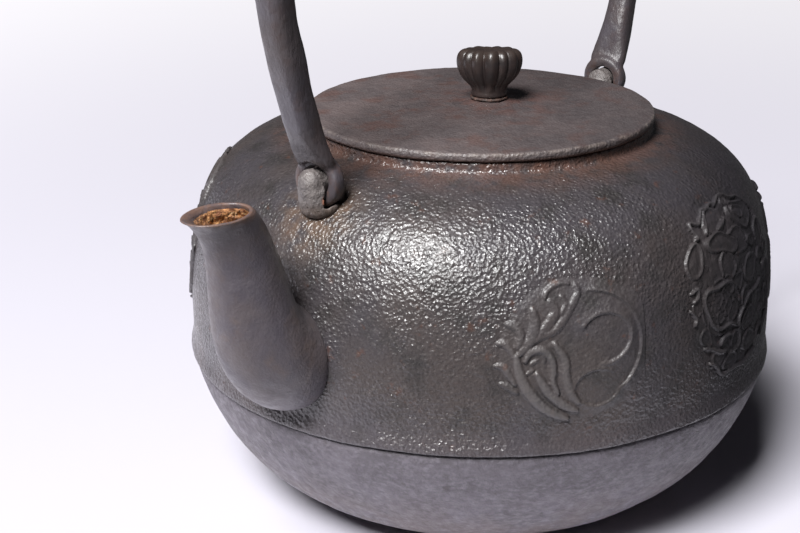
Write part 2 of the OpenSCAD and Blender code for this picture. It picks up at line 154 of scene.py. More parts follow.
def cut(piece, tool):
    m = piece.modifiers.new("cut", "BOOLEAN")
    m.operation = "DIFFERENCE"
    m.solver = "EXACT"
    m.object = tool
    apply_all(piece)
    bpy.data.objects.remove(tool, do_unlink=True)


def join(pieces):
    take(pieces[0])
    for p in pieces:
        p.select_set(True)
    bpy.ops.object.join()
    return bpy.context.view_layer.objects.active


def copied(piece, name, flip_x=False):
    """A copy with its own mesh, mirrored to the other side of the kettle if asked."""
    take(piece)
    bpy.ops.object.duplicate()
    if flip_x:
        edit()
        bpy.ops.mesh.select_all(action="SELECT")
        bpy.ops.transform.mirror(constraint_axis=(True, False, False), center_override=(0, 0, 0))
        bpy.ops.mesh.normals_make_consistent(inside=False)
    return done(name)


# ---- turning and drawing out ----
def turned(name, line, sides):
    """A piece turned about the kettle's axis from an outline of (radius, height)."""
    clear_bench()
    bpy.ops.mesh.primitive_plane_add(size=MM, location=(line[0][0] * MM, 0, line[0][1] * MM))
    bpy.ops.object.transform_apply(location=True, rotation=True, scale=True)
    edit()
    bpy.ops.mesh.select_all(action="SELECT")
    bpy.ops.mesh.merge(type="CENTER")
    for (r0, h0), (r1, h1) in zip(line, line[1:]):
        step = ((r1 - r0) * MM, 0, (h1 - h0) * MM)
        bpy.ops.mesh.extrude_region_move(TRANSFORM_OT_translate={"value": step})
    bpy.ops.mesh.select_all(action="SELECT")
    bpy.ops.mesh.spin(steps=sides, angle=math.tau, center=(0, 0, 0), axis=(0, 0, 1))
    tidy_faces()
    return done(name)


def turn(angle, centre):
    """Turns the selection about +Y by the right-hand rule; the operator itself turns the other way."""
    if abs(angle) > 1e-6:
        bpy.ops.transform.rotate(value=-angle, orient_axis="Y", orient_type="GLOBAL", center_override=centre)


def drawn_out(rings, sides, corner=0.0):
    """In edit mode, draws a section along rings of (distance, height, tilt, half depth, half width).

    Distances run out to -X. Tilt 0 keeps the section upright, 90 degrees lays it level. A corner
    above 0 starts from a square section with its corners forged round by that share.
    """
    clear_bench()
    if corner:
        bpy.ops.mesh.primitive_plane_add(size=2 * MM, rotation=(0, math.pi / 2, 0))
        edit()
        bpy.ops.mesh.select_all(action="SELECT")
        bpy.ops.mesh.bevel(offset=corner * MM, segments=sides // 4 - 1, affect="VERTICES")
        bpy.ops.mesh.delete(type="ONLY_FACE")
        clear_bench()
    else:
        bpy.ops.mesh.primitive_circle_add(vertices=sides, radius=MM, rotation=(0, math.pi / 2, 0))
    bpy.context.active_object.select_set(True)
    bpy.ops.object.transform_apply(location=True, rotation=True, scale=True)
    edit()
    bpy.ops.mesh.select_all(action="SELECT")
    d0, h0, q0, a0, b0 = rings[0]
    bpy.ops.transform.resize(value=(1, b0, a0), center_override=(0, 0, 0))
    turn(q0, (0, 0, 0))
    bpy.ops.transform.translate(value=(-d0 * MM, 0, h0 * MM))
    for d, h, q, a, b in rings[1:]:
        step = ((d0 - d) * MM, 0, (h - h0) * MM)
        bpy.ops.mesh.extrude_region_move(TRANSFORM_OT_translate={"value": step})
        centre = (-d * MM, 0, h * MM)
        turn(-q0, centre)
        bpy.ops.transform.resize(value=(1, b / b0, a / a0), center_override=centre)
        turn(q, centre)
        d0, h0, q0, a0, b0 = d, h, q, a, b


def rod(name, radius, length, middle, axis="X", sides=48):
    """A round cutter of its own length, lying along an axis."""
    clear_bench()
    lay = (0, math.pi / 2, 0) if axis == "X" else (0, 0, 0)
    bpy.ops.mesh.primitive_cylinder_add(vertices=sides, radius=radius * MM, depth=length * MM,
                                        location=[c * MM for c in middle], rotation=lay)
    return done(name)


def eye_room(side):
    """A cutter as large as one of the bail's eyes and the play round it."""
    return rod("eye_room", EYE_R + EYE_PLAY, EYE_T + 2 * EYE_PLAY, (side * LUG_X, 0, HINGE_H), sides=64)


def bend_at(a, b, c, d, t):
    """A point on the cubic curve through a and d, pulled towards b and c."""
    u = 1 - t
    if not isinstance(a, tuple):
        return u ** 3 * a + 3 * t * u * u * b + 3 * t * t * u * c + t ** 3 * d
    return tuple(bend_at(a[i], b[i], c[i], d[i], t) for i in range(len(a)))


def bend(a, b, c, d, n, first=0):
    return [bend_at(a, b, c, d, i / n) for i in range(first, n + 1)]


def moved_in(line, d):
    """The outline moved to its left by d."""
    out = []
    for i, p in enumerate(line):
        q, s = line[max(i - 1, 0)], line[min(i + 1, len(line) - 1)]
        tx, ty = s[0] - q[0], s[1] - q[1]
        n = math.hypot(tx, ty)
        out.append((p[0] - ty / n * d, p[1] + tx / n * d))
    return out


# ---- shell and bowl ----
SHOULDER = (COLLAR_R + COLLAR_FILLET, SHOULDER_H)
FALL = math.radians(SHOULDER_FALL)


def side_line(n):
    """The shell's outline from the waist up to the collar, in n steps."""
    belly = (WAIST_R + BELLY_OUT, SEAM_H + LIP_H + BELLY_RISE)
    pull = (SHOULDER[0] + SHOULDER_REACH * math.cos(FALL), SHOULDER_H - SHOULDER_REACH * math.sin(FALL))
    return bend((WAIST_R, SEAM_H + LIP_H), belly, pull, SHOULDER, n)


def make_shell():
    side = side_line(30)
    inner = [p for p in moved_in(side, WALL) if p[0] > MOUTH_R and p[1] > SEAM_H + 7]
    bore_r = WAIST_R - WALL
    lip = [(bore_r, SEAM_H), (LIP_R - 0.6, SEAM_H), (LIP_R - 0.15, SEAM_H + 0.12),
           (LIP_R, SEAM_H + 0.5), (LIP_R - 0.02, SEAM_H + 1.2), (LIP_R - 0.25, SEAM_H + 2.4),
           (LIP_R - 0.6, SEAM_H + 3.7)]
    collar = [(52.2, 111.5), (51.7, 112.0), (51.5, 112.7), (51.5, 113.6), (51.35, 114.25),
              (50.9, RIM_H), (49.6, RIM_H), (49.1, 114.3), (MOUTH_R, 113.8),
              (MOUTH_R, inner[-1][1] + 0.8)]
    line = lip + side + collar + inner[::-1][::3] + [(bore_r, SEAM_H + 6), (bore_r, SEAM_H)]
    shell = turned("kettle_shell", line, 270)
    subdivide(shell, 1)
    slow_waves(shell)
    rough_casting(shell, "hammer_marks", 3, 0.2)
    cut(shell, rod("spout_hole", SPIGOT_R, 20, (-WAIST_R, 0, SPOUT_ROOT_H)))
    for end in (-1, 1):
        cut(shell, eye_room(end))
    return shell


def make_bowl():
    lean = math.radians(BOWL_LEAN)
    side = bend((FOOT_R, 0), (FOOT_R + BOWL_REACH, 0), (BOWL_R - BOWL_DROP * math.sin(lean),
                SEAM_H - BOWL_DROP * math.cos(lean)), (BOWL_R + 0.2, SEAM_H), 20)
    inner = [p for p in moved_in(side, WALL) if p[0] < WAIST_R - 2 * WALL - 0.5 and p[1] > WALL + 0.5]
    in_r = WAIST_R - WALL
    rim = [(in_r, SEAM_H + 0.05), (in_r - 0.1, SEAM_H + 5.4), (in_r - WALL, SEAM_H + 5.4)]
    floor_out = [(0, 0), (FOOT_R / 3, 0), (FOOT_R * 2 / 3, 0), (FOOT_R - 1, 0)]
    floor_in = [(FOOT_R, WALL), (FOOT_R / 2, WALL), (0, WALL)]
    line = floor_out + side + rim + inner[::-1][::3] + floor_in
    bowl = turned("kettle_bowl", line, 180)
    subdivide(bowl, 1)
    slow_waves(bowl)
    rough_casting(bowl, "burnt_skin", 3, 0.16)
    edit()
    pick(bowl, lambda c: c.z < 0.05)
    bpy.ops.transform.resize(value=(1, 1, 0), center_override=(0, 0, 0))
    return done("kettle_bowl")


# ---- relief roundels ----
STEPS = 400
SIDE = np.array(side_line(STEPS))
SIDE_RUN = np.concatenate([[0], np.cumsum(np.hypot(*np.diff(SIDE, axis=0).T))])
SIDE_WAY = np.gradient(SIDE, axis=0)
SIDE_WAY /= np.hypot(*SIDE_WAY.T)[:, None]


def on_side(around, up, lift, azimuth, height):
    """Places points round and up from a roundel's middle, lifted off the shell; all in mm."""
    mid = np.interp(height, SIDE[:, 1], SIDE_RUN)
    run = mid + up
    r, h = np.interp(run, SIDE_RUN, SIDE[:, 0]), np.interp(run, SIDE_RUN, SIDE[:, 1])
    wr, wh = np.interp(run, SIDE_RUN, SIDE_WAY[:, 0]), np.interp(run, SIDE_RUN, SIDE_WAY[:, 1])
    r, h = r + lift * wh, h - lift * wr
    turn_by = math.radians(azimuth) + around / np.interp(mid, SIDE_RUN, SIDE[:, 0])
    return np.stack([r * np.cos(turn_by), r * np.sin(turn_by), h], -1)


def rounded(points, n=5):
    """A smooth line through the points."""
    p = np.array([points[0]] + list(points) + [points[-1]], float)
    t = np.linspace(0, 1, n, endpoint=False)[:, None]
    out = [0.5 * (2 * b + (c - a) * t + (2 * a - 5 * b + 4 * c - d) * t ** 2
                  + (3 * b - a - 3 * c + d) * t ** 3)
           for a, b, c, d in zip(p, p[1:], p[2:], p[3:])]
    return np.concatenate(out + [p[-1:]])


def vine(x, y, points, wide, high, taper=0.5):
    """Height of a rounded ridge along a line, thinner towards its ends."""
    line = rounded(points)
    far = np.full(x.shape, 1e3)
    along = np.linspace(0, 1, len(line))
    for (p, q), (u0, u1) in zip(zip(line, line[1:]), zip(along, along[1:])):
        d = q - p
        k = np.clip(((x - p[0]) * d[0] + (y - p[1]) * d[1]) / max(d @ d, 1e-9), 0, 1)
        here = wide * (1 - taper * np.abs(2 * (u0 + k * (u1 - u0)) - 1) ** 3)
        far = np.minimum(far, np.hypot(x - p[0] - k * d[0], y - p[1] - k * d[1]) / here)
    return high * np.sqrt(np.clip(1 - far ** 2, 0, 1))


def petal(x, y, mid, long, wide, lean, high):
    """Height of a cupped petal, a thin uneven rim round a smooth hollow, and where it lies."""
    c, s = math.cos(math.radians(lean)), math.sin(math.radians(lean))
    u, v = ((x - mid[0]) * c + (y - mid[1]) * s) / long, ((y - mid[1]) * c - (x - mid[0]) * s) / wide
    e = np.hypot(u, v)
    uneven = 0.72 + 0.28 * np.cos(np.arctan2(v, u) - 2.1 + 0.03 * lean)
    rim = uneven * np.exp(-((e - 0.86) * min(long, wide) / 0.42) ** 2)
    body = np.clip((1 - e) * min(long, wide) / 0.35, 0, 1) ** 0.5
    return high * body * (0.3 + 0.22 * np.clip(1 - 1.6 * e, 0, 1) + 0.7 * rim), e < 1


def sunk_disc(x, y, mid, wide, tall, high, first, last):
    """Height of the ground round a sunk disc: a crisp step down to it and a soft fall outwards."""
    u, v = (x - mid[0]) / wide, (y - mid[1]) / tall
    away = (np.hypot(u, v) - 1) * min(wide, tall)
    around = np.degrees(np.arctan2(v, u))
    half, middle = (last - first) / 2, (first + last) / 2
    off = np.abs((around - middle + 180) % 360 - 180)
    step = np.clip(away / 0.4, 0, 1)
    fall = np.exp(-np.clip(away - 0.4, 0, 9) / 1.5)
    return high * step * fall * np.clip((half - off) / 14, 0, 1)


def moon_spray(x, y):
    """A traditional spray of broad leaves curled round a moon and its reflection."""
    # half width, height and line of each leaf
    leaves = [
        (1.6, 0.95, [(-14.4, 0.6), (-13.6, -3.8), (-11.6, -8.6), (-8.2, -13), (-4.6, -16), (-0.6, -17.9)]),
        (1.45, 0.9, [(-8.9, -4.6), (-6, -9.7), (-2, -13.6), (2, -15.9)]),
        (1.5, 0.8, [(-4.2, 3.2), (-1.6, -1.2), (-1.2, -5.8), (0.2, -10.6), (2.4, -13.6)]),
        (1.15, 0.8, [(-12, -1), (-10.8, 1.2), (-8, 1.9), (-5.6, 0.2), (-4.6, -3), (-4.6, -7), (-3.2, -10.4)]),
        (1.5, 0.65, [(-9.8, 12.4), (-9.3, 9.4), (-9.8, 6.2), (-11.4, 3.4), (-13.8, 0.8)]),
        (1.25, 0.65, [(-16.8, 9), (-14.4, 8.2), (-13.2, 5.8), (-14, 2.8)]),
        (1.0, 0.7, [(-19.4, 4), (-17.2, 3.7), (-15.5, 1.8), (-14.8, -0.2)]),
        (1.0, 0.7, [(-19.7, -2), (-17.5, -2.5), (-15.9, -4.8), (-14.6, -7.2)]),
        (0.9, 0.7, [(-18.4, -6.9), (-16.5, -7.9), (-14, -9.5)]),
        (1.1, 0.5, [(-14.2, 0.2), (-8.8, 4.8), (-4.2, 6.6), (-1.5, 9.6), (0.8, 13), (2.7, 16), (2.2, 18)]),
        (0.75, 0.5, [(-6.6, 15.2), (-5.9, 17), (-2.8, 18.8), (0.4, 18.6)]),
        (1.4, 0.5, [(-5.2, 14.4), (-3.7, 11.8), (-5.2, 9.2), (-8, 6)]),
        (0.8, 0.45, [(-2.2, 15.6), (-0.8, 13.4), (-2.2, 11)]),
        (0.5, 0.35, [(-10.6, -2), (-8.6, -0.8)]),
        (0.5, 0.35, [(-11.6, -4.6), (-9.6, -3.4)]),
        (0.5, 0.45, [(-7.4, 1.4), (-6.8, -1.6)])]
    # middle, half width, half height, depth and the arc from first to last degree
    discs = [
        ((6, 1.2), 14.2, 14.6, 0.8, -62, 96),
        ((10, 3.4), 6.9, 6.3, 0.7, -110, 160),
        ((7.8, -10), 6, 4.7, 0.55, 40, 350)]
    top = 0.26 * np.clip((20.3 - np.hypot(x - 0.6, y - 0.6)) / 2.5, 0, 1)
    ground = top.copy()
    for wide, high, points in leaves:
        top = np.maximum(top, ground + vine(x, y, points, wide, high))
    for disc in discs:
        top = np.maximum(top, ground + sunk_disc(x, y, *disc))
    return top


def flower_head(x, y):
    """A traditional full flower: a bloom in a wreath of petals, with curls between them."""
    x, y = x + 0.5 * np.sin(0.6 * y + 1), y + 0.5 * np.sin(0.55 * x + 2)
    # middle, half length, half width, lean and height of each petal
    petals = [
        (3, 12, 7, 4, -20, 0.9), (8, 3, 5.4, 4, 30, 0.95), (19.6, 9.6, 5.4, 3.4, 64, 1.2),
        (21.6, -2.6, 4.8, 3.2, 82, 1.2), (20, -9.6, 4.4, 3, 100, 1.2), (-6.4, 19.9, 5.8, 3.9, 12, 1.15),
        (10.8, 18.2, 8.2, 4.4, -16, 1.15), (9.9, 19.3, 3.9, 2.2, -14, 1.2), (5.2, 23.3, 2.6, 1.7, -10, 1.15),
        (-1.4, 1.6, 4.4, 3, 20, 0.9), (3.4, -4.6, 4.6, 3.4, -30, 0.95), (4.6, -11, 5, 3.4, 22, 1.0),
        (5.2, -17.8, 5.2, 3.2, -14, 1.05), (-3.4, -14.4, 4, 2.6, 40, 0.95), (-5.6, -20.4, 4.4, 2.6, 12, 1.0),
        (-12.4, -17, 3.8, 2.4, -30, 0.95), (-17.6, -10.6, 3.4, 2.3, -52, 0.9), (-21, -0.6, 3.4, 2, 76, 0.8),
        (-19.8, 11.5, 5.1, 3.9, 70, 1.25), (-5.6, 6.9, 4.7, 4.3, 69, 1.1), (-5.4, 13.5, 9.6, 2.9, -15, 1.2)]
    # each round of the bloom: number of petals, reach, half length, half width and turn
    bloom = [(8, 5.4, 3.8, 2.9, 10), (5, 2.6, 2.7, 2.1, 40), (1, 0, 1.7, 1.5, 0)]
    for k, far, long, wide, turned_by in bloom:
        for i in range(k):
            lean = turned_by + 360 * i / k
            side = math.radians(lean)
            middle = (-10.6 + 1.25 * far * math.cos(side), -2.9 + far * math.sin(side))
            petals.append((*middle, long, wide, lean + 90, 0.85))
    rings = [(23, 4.5), (16.4, 3.8), (14.8, -4.5), (15.4, -12), (13.8, -17.6), (11.6, 10.2)]
    petals += [(px, py, 3.2, 1.9, -16, 1.15) for px, py in rings]
    grain = np.clip((np.sin(0.9 * x) * np.sin(0.8 * y + 1) + 0.9), 0, 1)
    top = 0.35 * np.clip((25 - np.hypot(x - 1, y - 0.6)) / 1.5, 0, 1) * grain
    for px, py, long, wide, lean, high in petals:
        here, inside = petal(x, y, (px, py), long, wide, lean, high)
        top = np.where(inside, here, top)
    curls = [
        [(-1.2, 24.2), (-2.8, 25), (-6.2, 23.6), (-9, 24.2)],
        [(-9, 24), (-11.4, 22.4), (-13.2, 21.2), (-16.4, 21.4), (-17, 19)],
        [(-17, 19), (-16.4, 17.2), (-18, 16.6)],
        [(-1.2, 24.5), (2, 25.2), (7, 25), (14.6, 22.6)],
        [(-8, 23.4), (-9.8, 20.8), (-12.3, 18)],
        [(0, 20.2), (-3.2, 18.5), (-6.2, 17)],
        [(-1.5, 0.5), (-7, 2.6), (-12.5, 3), (-16.8, 2), (-18, -2), (-16, -6.5), (-11, -8.8),
         (-6, -9.6), (-2.2, -10.8)],
        [(14.2, -2.5), (6, -4.2), (1.5, -5.8), (-1, -8.5), (-2, -13), (-2, -16.5), (-6.5, -18.2)],
        [(-12.2, -13.5), (-10.2, -12), (-6.8, -12.5)],
        [(-16, -18.5), (-12.5, -19.4), (-10.5, -22.8), (-6, -23.6), (-2.5, -22.8), (4, -23.6), (10, -21.4)],
        [(-19, -13.5), (-14.5, -14.7), (-9.2, -16.5)],
        [(-23.5, 4.2), (-21, 4.4), (-20.5, 2.2), (-22.3, 1.6)],
        [(-24, -0.5), (-22.5, -3), (-23, -4.8)],
        [(14.6, 22.6), (19, 18.6), (22.4, 13.4)],
        [(24, 0), (24.6, -4), (23.4, -9), (20, -15), (15, -20)]]
    for line in curls:
        top = np.maximum(top, vine(x, y, line, 0.7, 1.15, 0.4))
    return FLOWER_SHARE * top


def make_roundel(name, motif, azimuth, height, turned_by=0.0, reach=23.0, spacing=0.32):
    """A patch of the shell's skin with its relief, let into the wall behind it."""
    clear_bench()
    n = int(2 * reach / spacing)
    bpy.ops.mesh.primitive_grid_add(x_subdivisions=n, y_subdivisions=n, size=2 * reach)
    patch = bpy.context.active_object
    mesh = patch.data
    co = np.empty(len(mesh.vertices) * 3)
    mesh.vertices.foreach_get("co", co)
    co = co.reshape(-1, 3)
    c, s = math.cos(math.radians(turned_by)), math.sin(math.radians(turned_by))
    x, y = co[:, 0] * c + co[:, 1] * s, co[:, 1] * c - co[:, 0] * s
    high = motif(x, y)
    lift = np.where(high > 0, high, 0) - 0.12
    mesh.vertices.foreach_set("co", (on_side(co[:, 0], co[:, 1], lift, azimuth, height) * MM).ravel())
    # 'raised' marks the relief's tops, which the shell's finish paints lighter: partly rubbed wear, partly a
    # painted highlight
    for attribute, value in (("raised", (high - 0.45) / 0.75), ("calm", 0 * high + 0.75)):
        mesh.attributes.new(attribute, "FLOAT", "POINT").data.foreach_set("value", np.clip(value, 0, 1))
    faces = np.empty(len(mesh.polygons) * 4, int)
    mesh.polygons.foreach_get("vertices", faces)
    spare = high[faces.reshape(-1, 4)].max(axis=1) <= 0
    for part in (mesh.vertices, mesh.edges):
        part.foreach_set("select", np.zeros(len(part), bool))
    mesh.polygons.foreach_set("select", spare)
    bpy.ops.object.mode_set(mode="EDIT")
    bpy.ops.mesh.select_mode(type="FACE")
    bpy.ops.mesh.delete(type="FACE")
    bpy.ops.mesh.select_all(action="SELECT")
    bpy.ops.mesh.delete_loose()
    patch = done(name)
    slow_waves(patch)
    wall = patch.modifiers.new("let in", "SOLIDIFY")
    wall.thickness = 0.8 * MM
    wall.offset = -1
    apply_all(patch)
    return patch


# ---- spout ----
def spout_ring(t, wall=0.0):
    """The spout's section at a share of its length, as far out as its lip has flared."""
    flare = SPOUT_FLARE * t ** 10
    neck = SPOUT_X - SPOUT_FLARE
    root, root_pull = (79.6, SPOUT_ROOT_H), (110.6, SPOUT_ROOT_H)
    d, h = bend_at(root, root_pull, (neck - 13.5, SPOUT_H - 16), (neck, SPOUT_H), t)
    a = bend_at(15.2, 16.2, 8.4, 10.3 - 0.42 * SPOUT_FLARE, t) + 0.42 * flare
    b = bend_at(13.7, 15.3, 7.2, 7.9 - 0.25 * SPOUT_FLARE, t) + 0.25 * flare
    return d + flare, h, math.radians(90 * min(1, t / 0.8)), a - wall, b - wall


def spout_wall(t):
    return 2.4 - 0.9 * t ** 4


def make_spout():
    steps = [0.14 + 0.72 * i / 16 for i in range(17)] + [0.89, 0.92, 0.95, 0.975, 0.99]
    outside = [(86.3, SPOUT_ROOT_H + 0.3, 0, 15.2, 13.9)] + [spout_ring(t) for t in steps]
    d, h, q, a, b = spout_ring(1)
    lip = [(d, h - 0.4, q, a + 0.02, b + 0.02), (d, h - 0.08, q, a - 0.12, b - 0.12),
           (d, h, q, a - 0.5, b - 0.5), (d, h - 0.12, q, a - 1.0, b - 1.0)]
    inside = [spout_ring(t, spout_wall(t)) for t in (0.985, 0.97, 0.95, 0.93, 0.91, 0.88, 0.85, 0.82)]
    inside += [spout_ring(t, spout_wall(t)) for t in (0.78, 0.72, 0.65, 0.58, 0.5, 0.42, 0.34, 0.25)]
    bore = [(92.4, BORE_R + 1.5), (91, BORE_R), (84.2, BORE_R), (84, BORE_R + 0.3),
            (84, SPIGOT_R - 0.1), (86, SPIGOT_R - 0.1)]
    inside += [(far, SPOUT_ROOT_H, 0, r, r) for far, r in bore]
    drawn_out(outside + lip + inside, 44)
    bpy.ops.mesh.select_non_manifold()
    bpy.ops.mesh.bridge_edge_loops()
    tidy_faces()
    spout = done("spout_casting")
    subdivide(spout, 2)
    slow_waves(spout)
    rough_casting(spout, "spout_skin", 6, 0.22)
    return spout


def crust_mouth(spout, material):
    """Lines the throat with a crust of rust, thickest on the side towards the kettle."""
    spout.data.materials.append(material)
    crust = spout.vertex_groups.new(name="crust")
    rings = [spout_ring(t, spout_wall(t)) for t in np.linspace(0.78, 1, 45)]
    for v in spout.data.vertices:
        x, y, z = v.co / MM
        if z < rings[0][1] or z > SPOUT_H - 0.7:
            continue
        d, h, q, a, b = min(rings, key=lambda r: abs(r[1] - z))
        if math.hypot((-x - d) / a, y / b) < 1.06:
            deep = min(1, (SPOUT_H - 0.7 - z) / 1.6)
            crust.add([v.index], deep * (0.45 + 0.55 * max(0, min(1, (d + x + 4) / 8))), "REPLACE")
    for face in spout.data.polygons:
        held = [g.weight for i in face.vertices for g in spout.data.vertices[i].groups]
        if len(held) == len(face.vertices) and min(held) > 0.3:
            face.material_index = 1
    for size, depth in ((2.2, 1.3), (0.9, 0.7)):
        name = f"crust_{size}"
        lumps = bpy.data.textures.new(name, "CLOUDS")
        lumps.noise_scale = size * MM
        lumps.noise_depth = 2
        m = spout.modifiers.new(name, "DISPLACE")
        m.texture, m.texture_coords, m.vertex_group = lumps, "GLOBAL", "crust"
        m.strength, m.mid_level = depth * MM, 0.3
        apply_all(spout)


# ---- lugs and bail ----
def make_lug():
    """A thimble-shaped lug outside the bail's eye, its neck through the eye and its foot behind."""
    # place out and up of each lump, and its half sizes
    lumps = [
        ((-77.1, 112.2), (3.7, 3.7, 3.8)), ((-76.4, 109.8), (4.3, 4.4, 4.2)),
        ((-75.3, 107.5), (4.9, 5.1, 4.6)), ((-74.2, 105.4), (5.3, 5.8, 4.0)),
        ((-71.0, 110.6), (4.2, 4.6, 5.0)), ((-70.2, 107.0), (4.4, 4.8, 6.0))]
    parts = []
    for (out, high), size in lumps:
        clear_bench()
        bpy.ops.mesh.primitive_uv_sphere_add(segments=40, ring_count=28, radius=MM,
                                             location=(out * MM, 0, high * MM))
        bpy.ops.transform.resize(value=size)
        parts.append(done("lump"))
    lug = join(parts + [rod("neck", EYE_BORE - EYE_PLAY, EYE_T + 6, (-LUG_X, 0, HINGE_H))])
    fuse(lug, 0.32, 12)
    room = eye_room(-1)
    cut(room, rod("neck_left", EYE_BORE - EYE_PLAY, 12, (-LUG_X, 0, HINGE_H)))
    cut(lug, room)
    outer_face = -LUG_X - EYE_T / 2 - EYE_PLAY
    swing = rod("swing_room", EYE_R + EYE_PLAY, 0.8, (outer_face - 0.35, 0, HINGE_H), sides=64)
    cut(swing, rod("head_left", LUG_R + 0.3, 3, (outer_face, 0, HINGE_H)))
    cut(lug, swing)
    fuse(lug, 0.3, 2)
    rough_casting(lug, "lug_pits", 1.2, 0.35)
    rough_casting(lug, "lug_lumps", 4, 0.35)
    take(lug)
    return done("lug_casting_front")


def eye_ring():
    """The bail's eye: a ring of softened square section about the hinge axis."""
    half = EYE_T / 2
    soft = 1.3
    corners = [(EYE_BORE + soft, -half + soft, 180), (EYE_R - soft, -half + soft, 270),
               (EYE_R - soft, half - soft, 0), (EYE_BORE + soft, half - soft, 90)]
    line = [(x + soft * math.cos(math.radians(a + k)), z + soft * math.sin(math.radians(a + k)))
            for x, z, a in corners for k in (0, 30, 60, 90)]
    ring = turned("eye", line + line[:1], 64)
    edit()
    bpy.ops.mesh.select_all(action="SELECT")
    turn(math.pi / 2, (0, 0, 0))
    bpy.ops.transform.translate(value=(-LUG_X * MM, 0, HINGE_H * MM))
    return done("eye")


def bail_rings():
    """Sections of one half of the arch, from its foot at the eye up to the middle of its top."""
    foot, waist = (LUG_X + 0.5, 4.0), (BAIL_HALF, 62.0)
    line = bend(foot, (foot[0] + 7, foot[1] + 10), (waist[0] - 1.3, waist[1] - 18), waist, 14)
    line += bend(waist, (waist[0] + 0.7, waist[1] + 26), (56, BAIL_RISE), (0, BAIL_RISE), 14, 1)
    rings = []
    for i, (x, h) in enumerate(line):
        (x0, h0), (x1, h1) = line[max(i - 1, 0)], line[min(i + 1, len(line) - 1)]
        tilt = math.atan2(h1 - h0, x1 - x0) if i < len(line) - 1 else math.pi
        u = max(0.0, min(1.0, (17 - h) / 13))
        s = u * u * (3 - 2 * u)
        a = (ROD_T + (EYE_T - ROD_T) * s) / 2
        b = ROD_W / 2 + (EYE_R - 1 - ROD_W / 2) * s
        rings.append((x, HINGE_H + h, tilt, a, b))
    return rings


def make_bail():
    drawn_out(bail_rings(), 16, 0.62)
    arch = done("arch")
    edit()
    pick(arch, lambda c: c.z < HINGE_H + 6)
    bpy.ops.mesh.edge_face_add()
    arch = done("arch")
    m = arch.modifiers.new("other half", "MIRROR")
    m.merge_threshold = 0.01 * MM
    apply_all(arch)
    edit()
    tidy_faces()
    arch = done("arch")
    subdivide(arch, 1)
    near = eye_ring()
    bail = join([arch, near, copied(near, "far_eye", flip_x=True)])
    fuse(bail, 0.5, 4)
    for side in (-1, 1):
        at = (side * LUG_X, 0, HINGE_H)
        cut(bail, rod("bore", EYE_BORE, 14, at))
        cut(bail, rod("head_room", LUG_R + 0.9, ROD_T, (at[0] + side * (EYE_T + ROD_T) / 2, 0, HINGE_H)))
    fuse(bail, 0.48, 3)
    rough_casting(bail, "forge_blows", 13, 0.9, 0)
    rough_casting(bail, "scale", 3, 0.14)
    take(bail)
    return done("bail_forging")


# ---- lid, knob and fixings ----
def make_lid():
    edge = LID_R - 0.8
    dome = [(edge * i / 26, LID_TOP + LID_RISE * (1 - (i / 26) ** 2)) for i in range(27)]
    rim = [(52.2, 117.05), (LID_R, 116.5), (LID_R, 115.4), (52.2, 114.8), (51.6, RIM_H + 0.05),
           (FLANGE_R + 0.5, RIM_H + 0.05), (FLANGE_R, 114.1), (FLANGE_R, FLANGE_END + 0.4),
           (FLANGE_R - 0.4, FLANGE_END),
           (FLANGE_IN + 0.4, FLANGE_END), (FLANGE_IN, FLANGE_END + 0.4)]
    under = [(FLANGE_IN * i / 10, UNDER_H - LID_RISE * (i / 10) ** 2) for i in range(10, -1, -1)]
    lid = turned("lid_plate", dome + rim + under, 120)
    edit()
    pick(lid, lambda c: c.z > LID_TOP + 0.3 and math.hypot(c.x - KNOB_X, c.y - KNOB_Y) < 5.6)
    bpy.ops.transform.translate(value=(0, 0, (SEAT_H - LID_TOP - LID_RISE) * MM),
                                use_proportional_edit=True, use_proportional_connected=True,
                                proportional_edit_falloff="SMOOTH", proportional_size=4.5 * MM)
    lid = done("lid_plate")
    subdivide(lid, 1)
    rough_casting(lid, "lid_waves", 14, 0.35)
    rough_casting(lid, "lid_skin", 2.6, 0.2)
    return lid


def make_knob():
    """A bud of upright lobes round a dished top, on a short waisted foot; it leans a little."""
    line = [(0, 0), (5.2, 0), (5.45, 0.35), (5.45, 0.9), (5.25, 1.4), (5.3, 2), (6.2, 3), (7.8, 4.5),
            (9.1, 6.4), (9.9, 8.6), (10.1, 10.4), (9.9, 12), (9.3, 13.2), (8.3, 13.9), (7.1, 14.1),
            (5.8, 13.7), (4.4, 13), (2.2, 12.5), (0, 12.4)]
    knob = turned("knob_bud", line, 12 * LOBES)
    subdivide(knob, 1)
    edit()
    for i in range(LOBES):
        at = math.tau * i / LOBES + 0.07 * math.sin(2.3 * i)
        deep = 1.15 + 0.2 * math.sin(1.7 * i)
        way = Vector((math.cos(at), math.sin(at), 0))
        pick(knob, lambda c: 2.6 < c.z < 14.2 and c.dot(way) > 3.6 and abs(c.x * way.y - c.y * way.x) < 0.16)
        bpy.ops.transform.translate(value=(-deep * MM * way.x, -deep * MM * way.y, -0.25 * MM),
                                    use_proportional_edit=True, use_proportional_connected=True,
                                    proportional_edit_falloff="SHARP", proportional_size=2.3 * MM)
    pick(knob, lambda c: c.z > 2.5)
    for axis, lean in (("Y", 5.5), ("X", -4.3)):
        bpy.ops.transform.rotate(value=-math.radians(lean), orient_axis=axis, orient_type="GLOBAL",
                                 center_override=(0, 0, 2 * MM))
    knob = done("knob_bud")
    rough_casting(knob, "bronze_skin", 4, 0.12)
    take(knob)
    bpy.ops.transform.translate(value=(KNOB_X * MM, KNOB_Y * MM, KNOB_BASE * MM))
    return done("knob_bud")


